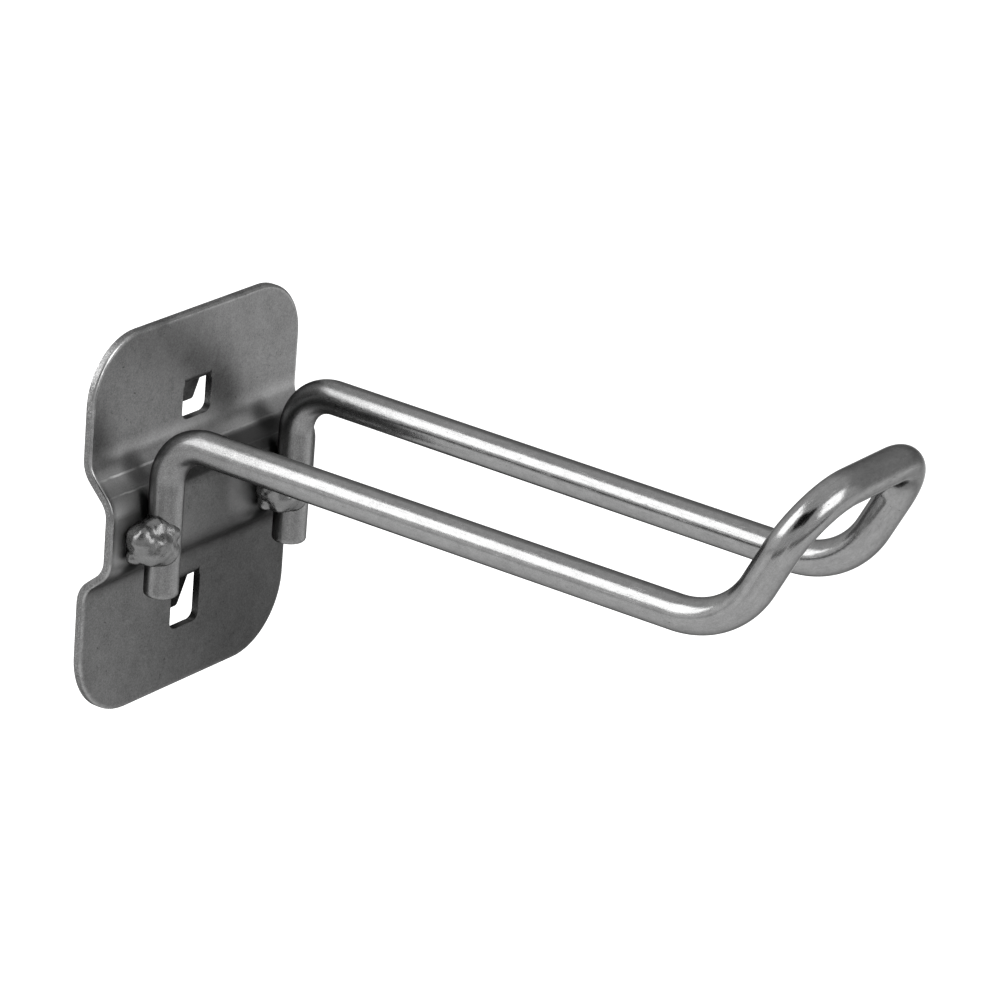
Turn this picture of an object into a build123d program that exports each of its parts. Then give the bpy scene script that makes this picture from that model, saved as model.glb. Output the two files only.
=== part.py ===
from build123d import *
import math
import os

# A double-prong hook for a tool panel with square holes: one bent wire welded to a stamped plate.
# +Z is up, the arms run along -Y, and the origin is the centre of the plate's back plane.

# Sheet and outline of the back plate
sheet_thickness = 1.5
plate_width = 58.0
plate_height = 72.3
top_corner_radius = 11.8
bottom_corner_radius = 13.5
edge_radius = 0.5

# Band that is pushed forward across the middle of the plate
band_depth = 5.6
band_height = 12.2
band_centre_z = 1.0
upper_fold_run = 5.7
lower_fold_run = 4.8
fold_radius = 5.0

# Windows and the tongues that are lanced out of them
tongue_pitch = 38.1
upper_window_top = 22.2
upper_window_height = 6.4
lower_window_height = 9.0
window_width = 8.1
window_corner_radius = 1.6
tongue_side_clearance = 0.3
tongue_end_gap = 1.5
tongue_throat = 0.6
tongue_tilt = 17.5
tongue_bend_radius = 1.0
tongue_corner_radius = 0.5

# Wire
wire_diameter = 6.3
leg_spacing = 36.6
front_spacing = 35.2
arm_z = 19.3
leg_bottom_z = -10.6
reach = 126.7
upturn_length = 28.8
upturn_angle = 63.8
leg_bend_radius = 8.6
front_bend_radius = 16.7
tip_bend_radius = 11.2
cut_end_radius = 0.6

# Weld nuggets
weld_bead_radius = 4.4
weld_bead_step = 1.2
weld_bead_taper = 0.86
weld_centre_z = 0.6
weld_offset = 3.0
weld_stand_off = 3.3

# Dependent sizes of the plate
mid_sheet_y = -sheet_thickness / 2
mid_band_y = mid_sheet_y - band_depth
band_front_y = -band_depth - sheet_thickness
plate_top_z = plate_height / 2
plate_bottom_z = -plate_height / 2
band_top_z = band_centre_z + band_height / 2
band_bottom_z = band_centre_z - band_height / 2
tongue_width = window_width - 2 * tongue_side_clearance
lower_window_top = upper_window_top - tongue_pitch

# Dependent sizes of the wire
wire_radius = wire_diameter / 2
leg_y = band_front_y - wire_radius
leg_x = leg_spacing / 2
front_x = front_spacing / 2
tip_y = -reach - upturn_length * math.cos(math.radians(upturn_angle))
tip_z = arm_z + upturn_length * math.sin(math.radians(upturn_angle))


def hook_tongue(window_top, drop):
    """Tongue that leaves the sheet at a window's top edge, steps rearward and hangs down."""
    neck_z = window_top + sheet_thickness / 2
    tilt = math.radians(tongue_tilt)
    shoulder_y = tongue_throat + sheet_thickness / 2 / math.cos(tilt)
    end_y = shoulder_y + (drop + sheet_thickness / 2) * math.tan(tilt)
    root_z = neck_z + tongue_bend_radius + sheet_thickness
    with BuildPart() as tongue:
        with BuildSketch(Plane.YZ):
            with BuildLine():
                FilletPolyline(
                    (mid_sheet_y, root_z),
                    (mid_sheet_y, neck_z),
                    (shoulder_y, neck_z),
                    (end_y, window_top - drop),
                    radius=tongue_bend_radius,
                )
            trace(line_width=sheet_thickness)
        extrude(amount=tongue_width / 2, both=True)
        end_face = tongue.faces().sort_by(Axis.Z)[0]
        fillet(end_face.edges().filter_by(Axis.X, reverse=True), radius=tongue_corner_radius)
    return tongue.part


def weld_nugget(centre_x):
    """Three run-together beads in the corner between the band and the outer left of one leg."""
    centre = Vector(centre_x - weld_offset, band_front_y - weld_stand_off, weld_centre_z)
    with BuildPart() as nugget:
        with Locations(centre):
            Sphere(weld_bead_radius)
        with Locations(centre + (0, 0, weld_bead_step), centre - (0, 0, weld_bead_step)):
            Sphere(weld_bead_radius * weld_bead_taper)
        split(bisect_by=Plane(origin=(0, band_front_y, 0), z_dir=(0, -1, 0)), keep=Keep.TOP)
        add(back_plate.part, mode=Mode.SUBTRACT)
        add(wire_hook.part, mode=Mode.SUBTRACT)
    return nugget.part


windows = [
    (upper_window_top, upper_window_height),
    (lower_window_top, lower_window_height),
]
tongues = [hook_tongue(top, height - tongue_end_gap) for top, height in windows]

# Back plate: the folded section along X, cut to its rounded outline, with windows and tongues
with BuildPart() as back_plate:
    with BuildSketch(Plane.YZ):
        with BuildLine():
            FilletPolyline(
                (mid_sheet_y, plate_top_z),
                (mid_sheet_y, band_top_z + upper_fold_run),
                (mid_band_y, band_top_z),
                (mid_band_y, band_bottom_z),
                (mid_sheet_y, band_bottom_z - lower_fold_run),
                (mid_sheet_y, plate_bottom_z),
                radius=fold_radius,
            )
        trace(line_width=sheet_thickness)
    extrude(amount=plate_width / 2, both=True)
    with BuildSketch(Plane.XZ) as outline:
        Rectangle(plate_width, plate_height)
        fillet(outline.vertices().group_by(Axis.Y)[-1], radius=top_corner_radius)
        fillet(outline.vertices().group_by(Axis.Y)[0], radius=bottom_corner_radius)
    extrude(amount=plate_width, both=True, mode=Mode.INTERSECT)
    cut_walls = back_plate.faces().filter_by(lambda face: abs(face.normal_at().Y) < 0.1)
    front_skin = back_plate.faces().filter_by(lambda face: face.normal_at().Y < -0.1)
    fillet(cut_walls.edges() & front_skin.edges(), radius=edge_radius)
    with BuildSketch(Plane.XZ):
        for window_top, window_height in windows:
            with Locations((0, window_top)):
                RectangleRounded(
                    window_width,
                    window_height,
                    window_corner_radius,
                    align=(Align.CENTER, Align.MAX),
                )
                Rectangle(window_width, window_height / 2, align=(Align.CENTER, Align.MAX))
                root_height = tongue_bend_radius + sheet_thickness / 2
                Rectangle(tongue_width, root_height, align=(Align.CENTER, Align.MIN))
    extrude(amount=2 * sheet_thickness, both=True, mode=Mode.SUBTRACT)
    add(tongues)

# Wire: two legs on the band, two arms, the turned-up front and the crossbar at its tip
with BuildPart() as wire_hook:
    with BuildLine() as wire_path:
        FilletPolyline(
            (-leg_x, leg_y, leg_bottom_z),
            (-leg_x, leg_y, arm_z),
            (-front_x, -reach, arm_z),
            (-front_x, tip_y, tip_z),
            (front_x, tip_y, tip_z),
            (front_x, -reach, arm_z),
            (leg_x, leg_y, arm_z),
            (leg_x, leg_y, leg_bottom_z),
            radius=[
                leg_bend_radius,
                front_bend_radius,
                tip_bend_radius,
                tip_bend_radius,
                front_bend_radius,
                leg_bend_radius,
            ],
        )
    with BuildSketch(Plane(origin=wire_path.line @ 0, z_dir=wire_path.line % 0)):
        Circle(wire_radius)
    sweep()
    cut_ends = wire_hook.faces().filter_by(GeomType.PLANE)
    fillet(cut_ends.edges(), radius=cut_end_radius)

weld_left = weld_nugget(-leg_x)
weld_right = weld_nugget(leg_x)

pieces = {
    "back_plate": back_plate.part,
    "wire_hook": wire_hook.part,
    "weld_left": weld_left,
    "weld_right": weld_right,
}
os.makedirs("parts", exist_ok=True)
for name, piece in pieces.items():
    piece.label = name
    export_step(piece, f"parts/{name}.step")
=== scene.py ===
import math

import bmesh
import bpy
import numpy as np
from mathutils import Matrix, Vector, noise


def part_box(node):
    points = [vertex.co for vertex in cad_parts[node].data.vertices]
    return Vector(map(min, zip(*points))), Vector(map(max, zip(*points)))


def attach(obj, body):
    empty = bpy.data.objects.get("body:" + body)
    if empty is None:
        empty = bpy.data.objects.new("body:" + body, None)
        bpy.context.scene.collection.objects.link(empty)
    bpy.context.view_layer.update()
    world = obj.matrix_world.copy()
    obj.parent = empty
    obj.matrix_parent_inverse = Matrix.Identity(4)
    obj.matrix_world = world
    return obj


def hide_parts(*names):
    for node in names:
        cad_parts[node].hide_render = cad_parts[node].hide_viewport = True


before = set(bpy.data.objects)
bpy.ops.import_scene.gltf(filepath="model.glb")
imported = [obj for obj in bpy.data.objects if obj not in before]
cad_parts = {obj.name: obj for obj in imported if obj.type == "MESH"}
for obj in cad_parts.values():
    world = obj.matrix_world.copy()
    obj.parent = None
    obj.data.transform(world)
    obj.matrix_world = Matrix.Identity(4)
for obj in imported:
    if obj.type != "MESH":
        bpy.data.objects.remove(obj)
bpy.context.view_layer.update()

MM = 0.001

# Camera, fitted to the photograph: angles in degrees, lengths in metres, pixels of a 1000 by 1000 frame
IMAGE_SIZE = 1000
CAMERA_AZIMUTH = -56.025
CAMERA_ELEVATION = 21.804
CAMERA_ROLL = 4.915
CAMERA_DISTANCE = 0.88434
CAMERA_FOCAL_PIXELS = 4934.5
CAMERA_TARGET = Vector((0, 0, 2.164 * MM))
CAMERA_TARGET_PIXEL = (185.25, 484.19)
SENSOR_MM = 36

# Plate, in millimetres, from the frame where its box tells
PLATE_LOW, PLATE_HIGH = [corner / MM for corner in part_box("back_plate")]
PLATE_WIDTH = PLATE_HIGH.x - PLATE_LOW.x
PLATE_HEIGHT = PLATE_HIGH.z - PLATE_LOW.z
BAND_FRONT_Y = PLATE_LOW.y
SHEET_THICKNESS = 1.5
TOP_CORNER_RADIUS = 11.8
BOTTOM_CORNER_RADIUS = 13.5

# Wire, in millimetres and radians: it stands on the band, and its legs end where the CAD node does
WIRE_RADIUS = 3.15
LEG_X = 18.3
FRONT_X = 17.6
ARM_Z = 19.3
LEG_Y = BAND_FRONT_Y - WIRE_RADIUS
LEG_BOTTOM_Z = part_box("wire_hook")[0].z / MM
REACH = 126.7
UPTURN_LENGTH = 28.8
UPTURN_ANGLE = math.radians(63.8)
LEG_BEND_RADIUS = 8.6
FRONT_BEND_RADIUS = 16.7
TIP_BEND_RADIUS = 11.2
CUT_END_RADIUS = 0.6
CUT_END_TURNS = [math.radians(angle) for angle in (0, 30, 60, 90)]
CUT_END_CLEARANCE = 0.2
WIRE_STEP = 0.5
WIRE_SIDES = 56

# Painted highlights, painted light and painted shade on the plate, in millimetres: places are (x, z),
# lines and window reaches are (z, half height)
UPPER_FOLD_LINE = (11.55, 0.22)
LOWER_FOLD_LINE = (9.05, 0.18)
PAINTED_FOLD_LIGHT = (13.3, 4.2)
WINDOW_REACHES = [(19.6, 4.6), (-19.9, 5.6)]
WINDOW_HALF_WIDTH = 4.0
CORNER_GLINT_PLACE = (-25.5, 30.0)
SHADE_BY_LEGS_PLACES = [(-16.8, 14.5), (16.4, 12.8)]
PAINTED_LIGHT_PLACES = [(-LEG_X - 6.0, 3.0), (LEG_X - 6.0, 3.0)]
WINDOW_TOP_SHADE_PLACES = [(0.8, 22.4), (0.8, -15.7)]

# Painted shadows at each leg: (x from the leg, z), squeeze of x and z, full and faded radius, strength
LEG_SHADOWS = [
    ((-2.0, 6.0), (1.0, 0.5), (0.7, 1.6), 1.0),
    ((-3.8, -5.6), (0.6, 1.0), (0.6, 2.2), 1.0),
    ((-0.5, 11.2), (1.0, 1.0), (1.0, 4.2), 0.78),
]

# Welds, in millimetres: a lump has an offset from the leg's axis at the weld's middle, and a radius
WELD_Z = 0.6
WELD_LUMPS = [
    ((-3.2, -0.2, -0.8), 4.0),
    ((-5.0, 0.6, 0.3), 3.2),
    ((-2.6, -0.1, 1.9), 2.9),
    ((-1.2, -1.2, 1.2), 2.6),
    ((-1.5, -0.9, -1.9), 3.1),
    ((-6.0, 1.6, -2.9), 1.5),
    ((-3.4, 1.4, -0.6), 3.8),
]
WELD_VOXEL = 0.14
WELD_SMOOTHING_ROUNDS = 90
WELD_SINK = 0.3

# Uneven skin of the welds: heights in millimetres with their waves per millimetre
WELD_SWELLS = [(0.30, 0.45), (0.04, 1.2), (0.01, 3.0)]
WELD_SEED_SHIFT = Vector((7.3, 3.1, 5.7))

# Each weld's piece, the node it replaces, its leg and its seed
WELDS = [
    ("weld_bead_left", "weld_left", -LEG_X, 1),
    ("weld_bead_right", "weld_right", LEG_X, 2),
]

# Stage, in metres
FLOOR_Z = -0.25
STAGE_SIZE = 6.0
STAGE_CENTRE = Vector((0, -0.06, 0))
CROSSBAR_PLACE = Vector((0, -0.139, 0.045))


def new_material(name):
    """Material with a Principled shader; returns the material, its node tree and the shader."""
    material = bpy.data.materials.new(name)
    material.use_nodes = True
    tree = material.node_tree
    return material, tree, tree.nodes["Principled BSDF"]


def add_node(tree, kind, **values):
    """Adds a node and sets its properties and its inputs by name."""
    node = tree.nodes.new(kind)
    for key, value in values.items():
        if key in node.inputs:
            node.inputs[key].default_value = value
        else:
            setattr(node, key, value)
    return node


def value_of(tree, thing, socket):
    """Feeds a number or another node's output into a socket."""
    if isinstance(thing, (int, float)):
        socket.default_value = thing
    else:
        tree.links.new(thing, socket)


def math_node(tree, operation, first, second=0.0):
    """Result of one operation on numbers or sockets."""
    node = add_node(tree, "ShaderNodeMath", operation=operation)
    value_of(tree, first, node.inputs[0])
    value_of(tree, second, node.inputs[1])
    return node.outputs[0]


def product(tree, value, *others):
    """Several values multiplied together."""
    for other in others:
        value = math_node(tree, "MULTIPLY", value, other)
    return value


def greatest(tree, value, *others):
    """The largest of several values."""
    for other in others:
        value = math_node(tree, "MAXIMUM", value, other)
    return value


def total(tree, start, *parts):
    """A start value plus several (value, weight) parts."""
    value = start
    for part, weight in parts:
        value = math_node(tree, "ADD", product(tree, part, weight), value)
    return value


def ramp(tree, value, low, high, to_low=0.0, to_high=1.0):
    """Smooth step of a value from one range to another."""
    node = tree.nodes.new("ShaderNodeMapRange")
    node.interpolation_type = "SMOOTHSTEP"
    value_of(tree, value, node.inputs["Value"])
    node.inputs["From Min"].default_value = low
    node.inputs["From Max"].default_value = high
    node.inputs["To Min"].default_value = to_low
    node.inputs["To Max"].default_value = to_high
    return node.outputs[0]


def scaled(tree, vector, scale, offset=(0, 0, 0)):
    """A vector stretched, then shifted."""
    node = add_node(tree, "ShaderNodeMapping", Scale=scale, Location=offset)
    tree.links.new(vector, node.inputs["Vector"])
    return node.outputs[0]


def pattern(tree, vector, scale, detail, rough, offset=(0, 0, 0), distortion=0.0):
    """Noise from 0 to 1 over a stretched and shifted vector."""
    node = add_node(
        tree,
        "ShaderNodeTexNoise",
        Scale=1.0,
        Detail=detail,
        Roughness=rough,
        Distortion=distortion,
    )
    tree.links.new(scaled(tree, vector, scale, offset), node.inputs["Vector"])
    return node.outputs["Fac"]


def coordinates(tree, vector):
    """The three parts of a vector."""
    split = tree.nodes.new("ShaderNodeSeparateXYZ")
    tree.links.new(vector, split.inputs[0])
    return split.outputs


def in_millimetres(tree):
    """Object coordinates in millimetres."""
    place = tree.nodes.new("ShaderNodeTexCoord")
    return scaled(tree, place.outputs["Object"], (1 / MM, 1 / MM, 1 / MM))


def metal_material(name, tint):
    """Principled metal; the tint is how bright it stays at grazing angles."""
    material, tree, shader = new_material(name)
    shader.inputs["Metallic"].default_value = 1.0
    shader.inputs["Specular Tint"].default_value = (tint, tint, tint, 1)
    return material, tree, shader


def finish_metal(tree, shader, tone, rough, height, depth):
    """Links a metal's grey tone, its roughness and a bump of a depth in millimetres."""
    grey = tree.nodes.new("ShaderNodeCombineColor")
    for socket in grey.inputs:
        tree.links.new(tone, socket)
    tree.links.new(grey.outputs[0], shader.inputs["Base Color"])
    tree.links.new(rough, shader.inputs["Roughness"])
    bump = add_node(tree, "ShaderNodeBump", Strength=0.5, Distance=depth * MM)
    tree.links.new(height, bump.inputs["Height"])
    tree.links.new(bump.outputs[0], shader.inputs["Normal"])


def wire_material():
    """Bright zinc over drawn wire: grain, mottling, draw lines and pits, duller toward the welds."""
    material, tree, shader = metal_material("wire_zinc", 0.35)
    along = add_node(tree, "ShaderNodeAttribute", attribute_name="wire_place")
    bar = along.outputs["Vector"]
    drawn = pattern(tree, bar, (2.6, 2.6, 0.07), 4.0, 0.6)
    broad = pattern(tree, bar, (0.9, 0.9, 0.05), 2.0, 0.5)
    mottle = pattern(tree, bar, (0.55, 0.55, 0.30), 5.0, 0.65, offset=(7, 3, 1))
    blotch = pattern(tree, bar, (1.5, 1.5, 0.9), 3.0, 0.6, offset=(2, 5, 4))
    grain = pattern(tree, bar, (4.2, 4.2, 4.2), 3.0, 0.65)
    scratch = pattern(tree, bar, (7.0, 7.0, 0.14), 2.0, 0.5, offset=(3, 9, 5))
    lines = ramp(tree, scratch, 0.64, 0.70)
    pits = pattern(tree, bar, (1.9, 1.9, 1.2), 3.0, 0.7, offset=(1, 4, 8))
    specks = ramp(tree, pits, 0.66, 0.73)
    y = coordinates(tree, in_millimetres(tree))[1]
    # darker, rougher and grainier toward the legs
    near_legs = ramp(tree, y, -46.0, -13.0)
    scale = product(tree, near_legs, math_node(tree, "SUBTRACT", grain, 0.5))
    tone = total(
        tree,
        0.045,
        (mottle, 0.11),
        (drawn, 0.025),
        (blotch, 0.09),
        (grain, 0.13),
        (lines, -0.02),
        (specks, -0.07),
    )
    tone = product(tree, tone, total(tree, 1.0, (near_legs, -0.22), (scale, 0.7)))
    rough = total(tree, 0.09, (mottle, 0.10), (blotch, 0.06), (specks, 0.15), (near_legs, 0.13))
    height = total(tree, 0.0, (drawn, 0.12), (broad, 0.3), (blotch, 0.4), (grain, 0.25), (lines, -0.15))
    finish_metal(tree, shader, tone, rough, height, 0.06)
    return material


def inset_from_rim(tree, x, z):
    """How far a point lies inside the plate's rounded outline, in millimetres."""
    top = math_node(tree, "GREATER_THAN", z, 0.0)
    corner = total(tree, BOTTOM_CORNER_RADIUS, (top, TOP_CORNER_RADIUS - BOTTOM_CORNER_RADIUS))
    over = []
    for value, size in ((x, PLATE_WIDTH), (z, PLATE_HEIGHT)):
        reach = math_node(tree, "ADD", math_node(tree, "ABSOLUTE", value), corner)
        over.append(math_node(tree, "SUBTRACT", reach, size / 2))
    past_x, past_z = [greatest(tree, value, 0.0) for value in over]
    squares = math_node(tree, "ADD", product(tree, past_x, past_x), product(tree, past_z, past_z))
    past = math_node(tree, "SQRT", squares)
    within = math_node(tree, "MINIMUM", greatest(tree, *over), 0.0)
    return math_node(tree, "SUBTRACT", math_node(tree, "SUBTRACT", corner, past), within)


def line_at(tree, value, middle, half_height):
    """1 on a line where the value equals the middle, falling to 0 beside it."""
    off = math_node(tree, "ABSOLUTE", math_node(tree, "SUBTRACT", value, middle))
    return ramp(tree, off, 0.25 * half_height, half_height, 1.0, 0.0)


def distance_to(tree, x, z, centre_x, centre_z):
    """Distance in the plate's plane from a point."""
    off_x = math_node(tree, "SUBTRACT", x, centre_x)
    off_z = math_node(tree, "SUBTRACT", z, centre_z)
    squares = math_node(tree, "ADD", product(tree, off_x, off_x), product(tree, off_z, off_z))
    return math_node(tree, "SQRT", squares)


def spots(tree, x, z, places, full, faded):
    """1 within the full radius of any of the places, falling to 0 at the faded radius."""
    rings = [ramp(tree, distance_to(tree, x, z, *place), full, faded, 1.0, 0.0) for place in places]
    return greatest(tree, *rings)


def rim_wear_and_glint(tree, place, inset, grain):
    """Rubbed rim that also carries a painted glint, cut wall and the wall's bright flakes, each from 0
    to 1.
    """
    rubbed = pattern(tree, place, (0.35, 0.35, 0.35), 4.0, 0.7, offset=(5, 5, 5))
    wear = ramp(tree, rubbed, 0.38, 0.62, 0.35, 1.0)
    rim = product(tree, ramp(tree, inset, 0.25, 1.0, 1.0, 0.0), ramp(tree, inset, -0.05, 0.12), wear)
    wall = ramp(tree, inset, 0.05, -0.02)
    flakes = product(tree, wall, wear, ramp(tree, grain, 0.44, 0.60))
    return rim, wall, flakes


def painted_fold_highlights(tree, place, x, z, blotch, inset):
    """Painted highlights: two broken bright lines along the band's upper fold, fainter toward +X."""
    wavy_z = total(tree, z, (blotch, 0.5))
    lines = [line_at(tree, wavy_z, *line) for line in (UPPER_FOLD_LINE, LOWER_FOLD_LINE)]
    patches = pattern(tree, place, (0.2, 0.0, 0.0), 2.0, 0.5, offset=(5, 2, 8))
    return product(
        tree,
        greatest(tree, *lines),
        ramp(tree, patches, 0.34, 0.60),
        ramp(tree, x, -20.0, -6.0, 1.0, 0.35),
        ramp(tree, inset, 0.3, 0.9),
    )


def painted_leg_shadows(tree, x, z):
    """Painted shadows at both legs: a tall one beside the leg, a wide one below the weld, one on the
    fold.
    """
    painted_marks = []
    for leg_x in (-LEG_X, LEG_X):
        for (aside, height), (squeeze_x, squeeze_z), (full, faded), strength in LEG_SHADOWS:
            squeezed = product(tree, x, squeeze_x), product(tree, z, squeeze_z)
            centre = squeeze_x * (leg_x + aside), squeeze_z * height
            painted_marks.append(ramp(tree, distance_to(tree, *squeezed, *centre), full, faded, strength, 0.0))
    return greatest(tree, *painted_marks)


def painted_shade_share(tree, x, z, inset):
    """How far the tone is darkened as painted shade: below the upper fold, more toward +X, on the fold's
    slope, and a little at the upper left.
    """
    below = product(tree, ramp(tree, z, 11.7, 9.5), ramp(tree, x, -24.0, 14.0, 0.30, 0.64))
    slope = product(
        tree,
        ramp(tree, z, 11.7, 10.5),
        ramp(tree, z, 6.0, 7.5),
        ramp(tree, x, -19.0, -11.0, 0.0, 0.78),
    )
    upper = product(tree, ramp(tree, z, 14.0, 18.0), ramp(tree, x, 12.0, -8.0, 0.0, 0.12))
    return product(tree, greatest(tree, below, slope, upper), ramp(tree, inset, 0.0, 0.6))


def painted_window_shade(tree, x, y, z):
    """Painted shade: 1 on the walls of the two windows and on what lies between them, inside the sheet.
    """
    aside = math_node(tree, "ABSOLUTE", x)
    across = ramp(tree, aside, WINDOW_HALF_WIDTH, WINDOW_HALF_WIDTH + 0.3, 1.0, 0.0)
    heights = [line_at(tree, z, *reach) for reach in WINDOW_REACHES]
    behind_front = ramp(tree, y, -SHEET_THICKNESS, -SHEET_THICKNESS + 0.15)
    before_back = ramp(tree, y, -0.1, 0.1, 1.0, 0.0)
    return product(tree, across, greatest(tree, *heights), behind_front, before_back)


def plate_material():
    """Satin zinc over pressed sheet: cloudy, grainy, rubbed at the rim, with painted highlights at the
    fold and the rim, painted light beside the legs and above the fold, and painted shade and shadows at
    the legs, the windows and below the fold.
    """
    material, tree, shader = metal_material("plate_zinc", 0.45)
    place = in_millimetres(tree)
    x, y, z = coordinates(tree, place)
    normal = tree.nodes.new("ShaderNodeTexCoord").outputs["Normal"]
    front = ramp(tree, coordinates(tree, normal)[1], -0.2, -0.4)
    inset = inset_from_rim(tree, x, z)

    clouds = pattern(tree, place, (0.07, 0.07, 0.07), 4.0, 0.6, offset=(3, 1, 9), distortion=0.3)
    blotch = pattern(tree, place, (0.36, 0.36, 0.30), 5.0, 0.65, offset=(4, 2, 6))
    grain = pattern(tree, place, (2.9, 2.9, 2.9), 4.0, 0.7)
    fine = pattern(tree, place, (6.5, 6.5, 5.0), 2.0, 0.6, offset=(8, 1, 2))
    pits = pattern(tree, place, (1.1, 1.1, 1.1), 3.0, 0.65, offset=(2, 7, 3))
    specks = ramp(tree, pits, 0.67, 0.74)

    rim, wall, flakes = rim_wear_and_glint(tree, place, inset, grain)
    # painted glint on the rim and wall at the upper left corner
    painted_corner_glint = product(tree, spots(tree, x, z, [CORNER_GLINT_PLACE], 4.0, 11.0), greatest(tree, rim, flakes))
    # painted highlights along the band's upper fold
    painted_marks = product(tree, painted_fold_highlights(tree, place, x, z, blotch, inset), front)
    # painted light in a band just above the upper fold
    painted_fold_light = product(tree, line_at(tree, z, *PAINTED_FOLD_LIGHT), front)
    # painted shade at the upper fold near each leg
    painted_shade_by_legs = product(tree, spots(tree, x, z, SHADE_BY_LEGS_PLACES, 1.0, 5.0), front)
    # painted shade at the top edge of each window
    painted_window_top_shade = product(tree, spots(tree, x, z, WINDOW_TOP_SHADE_PLACES, 1.8, 6.0), front)
    # painted light on the band left of each leg, lifting the shade there
    painted_light = product(tree, spots(tree, x, z, PAINTED_LIGHT_PLACES, 4.5, 11.0), front, ramp(tree, inset, 0.2, 1.5))
    # painted shadows beside each leg, below each weld and on the fold above each leg
    painted_leg_shadow = product(tree, painted_leg_shadows(tree, x, z), front)
    # painted shade below the upper fold, on the fold's slope and at the upper left
    painted_shade = painted_shade_share(tree, x, z, inset)

    tone = total(
        tree,
        -0.092,
        (clouds, 0.10),
        (blotch, 0.10),
        (grain, 0.18),
        (fine, 0.12),
        (specks, -0.09),
        # rubbed rim wear with a painted glint along the rim
        (rim, 0.10),
        (wall, -0.05),
        (flakes, 0.09),
        # painted light left of the legs
        (painted_light, 0.30),
        # painted glint at the upper left corner
        (painted_corner_glint, 0.22),
        # painted light above the fold
        (painted_fold_light, 0.075),
        # painted shade inside the windows
        (painted_window_shade(tree, x, y, z), -0.10),
        # painted shade at the windows' tops
        (painted_window_top_shade, -0.012),
        # painted shade near the legs
        (painted_shade_by_legs, -0.035),
        # painted highlights along the upper fold
        (painted_marks, 0.40),
    )
    # painted shade and the painted shadows at the legs darken the tone
    kept = product(tree, total(tree, 1.0, (painted_shade, -1.0)), total(tree, 1.0, (painted_leg_shadow, -0.75)))
    tone = greatest(tree, product(tree, tone, kept), 0.02)
    rough = total(tree, 0.27, (clouds, 0.12), (blotch, 0.12), (rim, -0.15), (painted_light, 0.06))
    height = total(tree, 0.0, (grain, 0.25), (blotch, 1.0), (fine, 0.08), (flakes, 1.2))
    finish_metal(tree, shader, tone, rough, height, 0.04)
    return material


def weld_material():
    """Zinc over weld metal: smooth run-together lumps with glints, dull dips and a fine grain."""
    material, tree, shader = metal_material("weld_zinc", 0.5)
    place = in_millimetres(tree)
    lumps = pattern(tree, place, (0.55, 0.55, 0.55), 4.0, 0.6)
    grain = pattern(tree, place, (3.4, 3.4, 3.4), 4.0, 0.7)
    tone = total(tree, 0.015, (lumps, 0.15), (grain, 0.12))
    rough = ramp(tree, grain, 0.3, 0.7, 0.20, 0.36)
    height = total(tree, 0.0, (grain, 0.4), (lumps, 1.0))
    finish_metal(tree, shader, tone, rough, height, 0.07)
    return material


def dress(obj, material):
    """Gives an object one material."""
    obj.data.materials.clear()
    obj.data.materials.append(material)


def link_object(name, data):
    """New object in the scene."""
    obj = bpy.data.objects.new(name, data)
    bpy.context.scene.collection.objects.link(obj)
    return obj


def direction(azimuth, elevation):
    """Unit vector: azimuth 0 is -Y, 90 is +X."""
    a, e = math.radians(azimuth), math.radians(elevation)
    return Vector((math.sin(a) * math.cos(e), -math.cos(a) * math.cos(e), math.sin(e)))


def facing(place, normal):
    """Placement of a flat object whose own +Z looks along a normal."""
    return Matrix.Translation(place) @ Vector(normal).to_track_quat("Z", "Y").to_matrix().to_4x4()


def make_camera():
    """The photograph's camera: its picture shows the target at the target's pixel."""
    azimuth = math.radians(CAMERA_AZIMUTH)
    roll = math.radians(CAMERA_ROLL)
    back = direction(CAMERA_AZIMUTH, CAMERA_ELEVATION)
    level_right = Vector((math.cos(azimuth), math.sin(azimuth), 0))
    level_up = back.cross(level_right)
    right = math.cos(roll) * level_right + math.sin(roll) * level_up
    up = math.cos(roll) * level_up - math.sin(roll) * level_right
    pixel = CAMERA_DISTANCE / CAMERA_FOCAL_PIXELS
    aside = (CAMERA_TARGET_PIXEL[0] - IMAGE_SIZE / 2) * pixel
    above = -(CAMERA_TARGET_PIXEL[1] - IMAGE_SIZE / 2) * pixel
    place = CAMERA_TARGET - right * aside - up * above + back * CAMERA_DISTANCE
    camera = link_object("camera", bpy.data.cameras.new("camera"))
    camera.data.sensor_width = SENSOR_MM
    camera.data.lens = CAMERA_FOCAL_PIXELS * SENSOR_MM / IMAGE_SIZE
    camera.matrix_world = Matrix.Translation(place) @ Matrix((right, up, back)).transposed().to_4x4()
    bpy.context.scene.camera = camera


def plane(name, place, normal, width, height):
    """Flat rectangle on the stage that faces along a normal."""
    mesh = bpy.data.meshes.new(name)
    w, h = width / 2, height / 2
    mesh.from_pydata([(-w, -h, 0), (w, -h, 0), (w, h, 0), (-w, h, 0)], [], [(0, 1, 2, 3)])
    obj = link_object(name, mesh)
    obj.matrix_world = facing(place, normal)
    return obj


def softbox(name, azimuth, elevation, distance, width, height, level):
    """Area lamp of an even level, which is how bright it looks beside a white of 1."""
    toward = direction(azimuth, elevation)
    lamp = bpy.data.lights.new(name, "AREA")
    lamp.shape = "RECTANGLE"
    lamp.size = width
    lamp.size_y = height
    lamp.energy = level * math.pi * width * height
    link_object(name, lamp).matrix_world = facing(STAGE_CENTRE + toward * distance, toward)


def around(azimuth, elevation, distance, centre=STAGE_CENTRE):
    """Place and normal of a card that faces a centre from a direction."""
    toward = direction(azimuth, elevation)
    return centre + toward * distance, -toward


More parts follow.
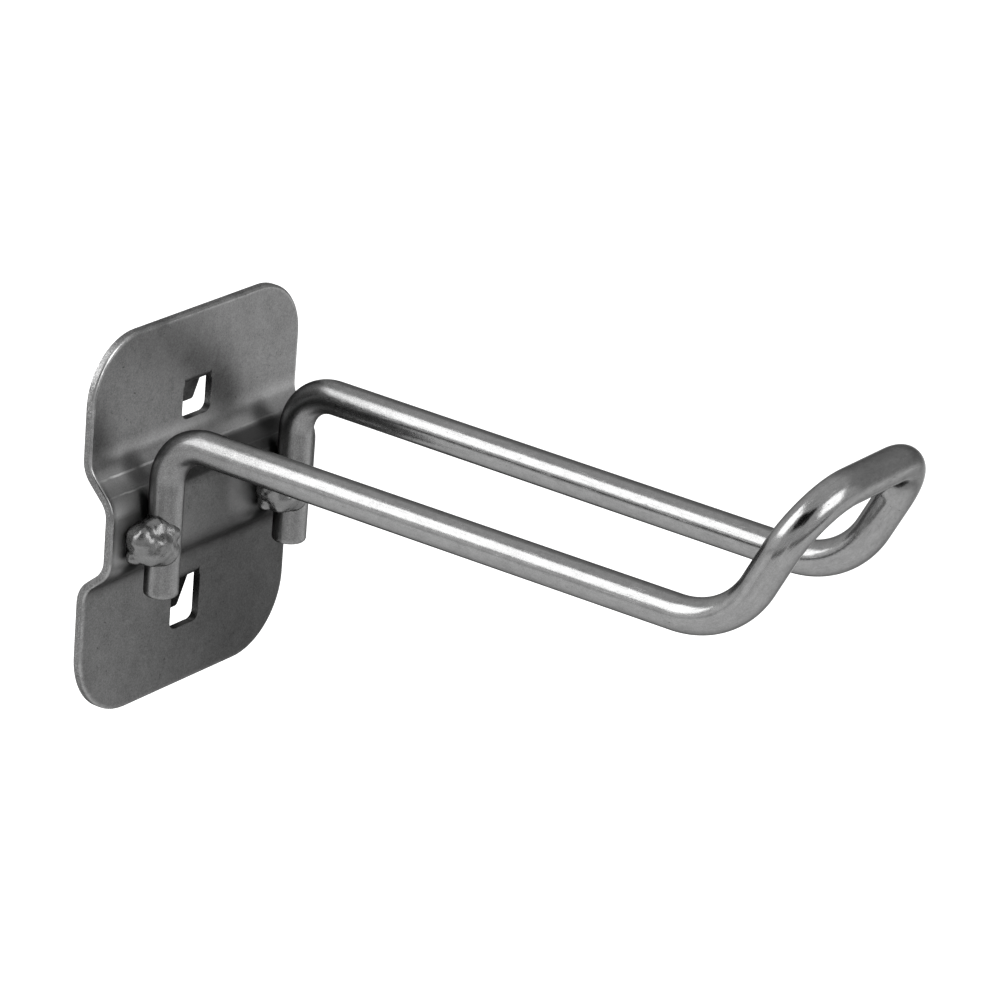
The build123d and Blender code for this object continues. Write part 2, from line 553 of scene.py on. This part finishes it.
def card(name, place, normal, width, height, level, edge):
    """Grey card that only reflections see, with soft edges."""
    obj = plane(name, place, normal, width, height)
    material = bpy.data.materials.new(name)
    material.use_nodes = True
    tree = material.node_tree
    tree.nodes.clear()
    offsets = coordinates(tree, tree.nodes.new("ShaderNodeTexCoord").outputs["Object"])
    shares = [
        ramp(tree, math_node(tree, "ABSOLUTE", offset), size / 2 - edge, size / 2, 1.0, 0.0)
        for offset, size in zip(offsets, (width, height))
    ]
    glow = add_node(tree, "ShaderNodeEmission", Strength=level)
    clear = tree.nodes.new("ShaderNodeBsdfTransparent")
    mix = tree.nodes.new("ShaderNodeMixShader")
    tree.links.new(product(tree, *shares), mix.inputs[0])
    tree.links.new(clear.outputs[0], mix.inputs[1])
    tree.links.new(glow.outputs[0], mix.inputs[2])
    out = tree.nodes.new("ShaderNodeOutputMaterial")
    tree.links.new(mix.outputs[0], out.inputs["Surface"])
    dress(obj, material)
    obj.visible_camera = False
    obj.visible_diffuse = False
    obj.visible_shadow = False
    obj.visible_transmission = False


def seen_directly(tree):
    """1 for rays from the camera, from glossy reflections and through glass."""
    path = tree.nodes.new("ShaderNodeLightPath")
    kinds = ("Is Camera Ray", "Is Glossy Ray", "Is Transmission Ray")
    return greatest(tree, *[path.outputs[kind] for kind in kinds])


def make_world():
    """Surroundings that look and reflect white, but give little diffuse light."""
    world = bpy.data.worlds.new("world")
    bpy.context.scene.world = world
    world.use_nodes = True
    tree = world.node_tree
    tree.nodes.clear()
    fill = add_node(tree, "ShaderNodeBackground", Color=(1, 1, 1, 1), Strength=0.25)
    white = add_node(tree, "ShaderNodeBackground", Color=(1, 1, 1, 1), Strength=1.0)
    mix = tree.nodes.new("ShaderNodeMixShader")
    out = tree.nodes.new("ShaderNodeOutputWorld")
    tree.links.new(seen_directly(tree), mix.inputs[0])
    tree.links.new(fill.outputs[0], mix.inputs[1])
    tree.links.new(white.outputs[0], mix.inputs[2])
    tree.links.new(mix.outputs[0], out.inputs["Surface"])


def make_floor():
    """White floor far below the part, lit up for the camera and for reflections."""
    floor = plane("floor", Vector((0, 0, FLOOR_Z)), (0, 0, 1), STAGE_SIZE, STAGE_SIZE)
    material, tree, shader = new_material("floor")
    shader.inputs["Base Color"].default_value = (0.9, 0.9, 0.9, 1)
    shader.inputs["Roughness"].default_value = 0.9
    shader.inputs["Specular IOR Level"].default_value = 0.0
    shader.inputs["Emission Color"].default_value = (1, 1, 1, 1)
    path = tree.nodes.new("ShaderNodeLightPath")
    glow = total(tree, 0.0, (seen_directly(tree), 0.65), (path.outputs["Is Camera Ray"], 0.3))
    tree.links.new(glow, shader.inputs["Emission Strength"])
    dress(floor, material)


def make_lights():
    """Two softboxes, and grey cards that shape the reflections."""
    softbox("softbox_behind", -134, 35, 1.3, 0.95, 0.90, 3.7)
    softbox("softbox_front", -3, 27, 1.3, 0.80, 0.90, 3.7)
    card("card_right", *around(84, 26, 1.3), 3.0, 2.0, 0.60, 0.5)
    card("card_camera", *around(-69, 34, 1.2), 1.00, 0.78, 0.0, 0.08)
    card("card_low_left", *around(-84, -17, 0.6), 0.55, 0.22, 0.38, 0.08)
    card("card_low_front", *around(-20, -17, 0.6), 0.90, 0.22, 0.34, 0.08)
    card("card_low_back", *around(138, -40, 0.30), 0.40, 0.28, 0.35, 0.10)
    card("card_behind", *around(-134, 4, 1.2), 1.40, 0.45, 1.35, 0.15)
    card("card_crossbar", *around(82, -28, 0.30, CROSSBAR_PLACE), 0.34, 0.20, 1.75, 0.06)


def straight_points(start, end, step):
    """Points after the start, up to the end, about one step apart."""
    count = max(1, round((end - start).length / step))
    return [start.lerp(end, i / count) for i in range(1, count + 1)]


def arc_points(centre, start, end, turn, step):
    """Points after the start, up to the end, along an arc about a centre."""
    first, last = start - centre, end - centre
    count = max(2, round(turn * first.length / step))
    points = []
    for i in range(1, count + 1):
        part = i / count
        share = math.sin((1 - part) * turn) / math.sin(turn)
        other = math.sin(part * turn) / math.sin(turn)
        points.append(centre + first * share + last * other)
    return points


def rounded_path(corners, radii, step):
    """Points along a polyline whose corners are arcs, about one step apart."""
    corners = [Vector(corner) for corner in corners]
    points = [corners[0]]
    for before, corner, after, radius in zip(corners, corners[1:], corners[2:], radii):
        inward = (before - corner).normalized()
        outward = (after - corner).normalized()
        half = inward.angle(outward) / 2
        start = corner + inward * (radius / math.tan(half))
        end = corner + outward * (radius / math.tan(half))
        centre = corner + (inward + outward).normalized() * (radius / math.sin(half))
        points += straight_points(points[-1], start, step)
        points += arc_points(centre, start, end, math.pi - 2 * half, step)
    return points + straight_points(points[-1], corners[-1], step)


def wire_path():
    """Points along the middle of the bar, from the near leg's end round to the far leg's end."""
    tip_y = -REACH - UPTURN_LENGTH * math.cos(UPTURN_ANGLE)
    tip_z = ARM_Z + UPTURN_LENGTH * math.sin(UPTURN_ANGLE)
    half = [
        (LEG_X, LEG_Y, LEG_BOTTOM_Z),
        (LEG_X, LEG_Y, ARM_Z),
        (FRONT_X, -REACH, ARM_Z),
        (FRONT_X, tip_y, tip_z),
    ]
    corners = [(-x, y, z) for x, y, z in half] + half[::-1]
    bends = [LEG_BEND_RADIUS, FRONT_BEND_RADIUS, TIP_BEND_RADIUS]
    return rounded_path(corners, bends + bends[::-1], WIRE_STEP)


def wire_rings():
    """Middle and radius of each ring of the bar; both cut ends face down and are rounded."""
    points = wire_path()
    up = Vector((0, 0, 1))
    rounding = [
        (CUT_END_RADIUS * (1 - math.cos(turn)), WIRE_RADIUS - CUT_END_RADIUS * (1 - math.sin(turn)))
        for turn in CUT_END_TURNS
    ]
    near_end = [(points[0] + up * rise, radius) for rise, radius in rounding]
    far_end = [(points[-1] + up * rise, radius) for rise, radius in rounding]
    clear_z = LEG_BOTTOM_Z + CUT_END_RADIUS + CUT_END_CLEARANCE
    middle = [(point, WIRE_RADIUS) for point in points if point.z > clear_z]
    return near_end + middle + far_end[::-1]


def make_wire():
    """Bar swept along its path; a point attribute holds the place around and along it."""
    rings = wire_rings()
    vertices, places, faces = [], [], []
    side = Vector((1, 0, 0))
    along = 0.0
    for index, (centre, radius) in enumerate(rings):
        ahead = rings[min(index + 1, len(rings) - 1)][0] - rings[max(index - 1, 0)][0]
        axis = ahead.normalized()
        side = (side - axis * side.dot(axis)).normalized()
        other = axis.cross(side)
        if index:
            along += (centre - rings[index - 1][0]).length
        for step in range(WIRE_SIDES):
            angle = 2 * math.pi * step / WIRE_SIDES
            spoke = side * math.cos(angle) + other * math.sin(angle)
            vertices.append((centre + spoke * radius) * MM)
            places.append((WIRE_RADIUS * math.cos(angle), WIRE_RADIUS * math.sin(angle), along))
    for index in range(len(rings) - 1):
        low = index * WIRE_SIDES
        high = low + WIRE_SIDES
        for step in range(WIRE_SIDES):
            after = (step + 1) % WIRE_SIDES
            faces.append((low + step, low + after, high + after, high + step))
    for ring, length in ((0, 0.0), (len(rings) - 1, along)):
        centre = len(vertices)
        vertices.append(rings[ring][0] * MM)
        places.append((0, 0, length))
        for step in range(WIRE_SIDES):
            pair = (ring * WIRE_SIDES + (step + 1) % WIRE_SIDES, ring * WIRE_SIDES + step)
            faces.append((*pair, centre) if ring == 0 else (*pair[::-1], centre))
    mesh = bpy.data.meshes.new("wire_bar")
    mesh.from_pydata(vertices, [], faces)
    mesh.attributes.new("wire_place", "FLOAT_VECTOR", "POINT")
    mesh.attributes["wire_place"].data.foreach_set("vector", np.array(places, dtype=np.float32).ravel())
    mesh.shade_smooth()
    return link_object("wire_bar", mesh)


def make_weld(name, leg_x, seed):
    """Run-together lumps over the corner between the band and one leg, with a rough skin."""
    centre = Vector((leg_x, LEG_Y, WELD_Z))
    mesh_work = bmesh.new()
    for offset, radius in WELD_LUMPS:
        made = bmesh.ops.create_icosphere(mesh_work, subdivisions=4, radius=radius * MM)
        bmesh.ops.translate(mesh_work, verts=made["verts"], vec=(centre + Vector(offset)) * MM)
    mesh = bpy.data.meshes.new(name)
    mesh_work.to_mesh(mesh)
    mesh_work.free()
    obj = link_object(name, mesh)
    remesh = obj.modifiers.new("remesh", "REMESH")
    remesh.mode = "VOXEL"
    remesh.voxel_size = WELD_VOXEL * MM
    smooth = obj.modifiers.new("smooth", "SMOOTH")
    smooth.factor = 0.5
    smooth.iterations = WELD_SMOOTHING_ROUNDS
    skin = bpy.data.meshes.new_from_object(obj.evaluated_get(bpy.context.evaluated_depsgraph_get()))
    obj.modifiers.clear()
    obj.data = skin
    normals = [vertex.normal.copy() for vertex in skin.vertices]
    for vertex, normal in zip(skin.vertices, normals):
        place = vertex.co / MM + seed * WELD_SEED_SHIFT
        swell = sum(height * noise.noise(place * scale) for height, scale in WELD_SWELLS)
        vertex.co += normal * swell * MM
        vertex.co.y = min(vertex.co.y, (BAND_FRONT_Y + WELD_SINK) * MM)
    skin.shade_smooth()
    return obj


bpy.context.scene.view_settings.view_transform = "Standard"
make_camera()
make_world()
make_floor()
make_lights()

wire = make_wire()
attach(wire, "root")
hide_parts("wire_hook")
dress(wire, wire_material())
weld_zinc = weld_material()
for name, node, leg_x, seed in WELDS:
    weld = make_weld(name, leg_x, seed)
    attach(weld, "root")
    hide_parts(node)
    dress(weld, weld_zinc)
dress(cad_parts["back_plate"], plate_material())
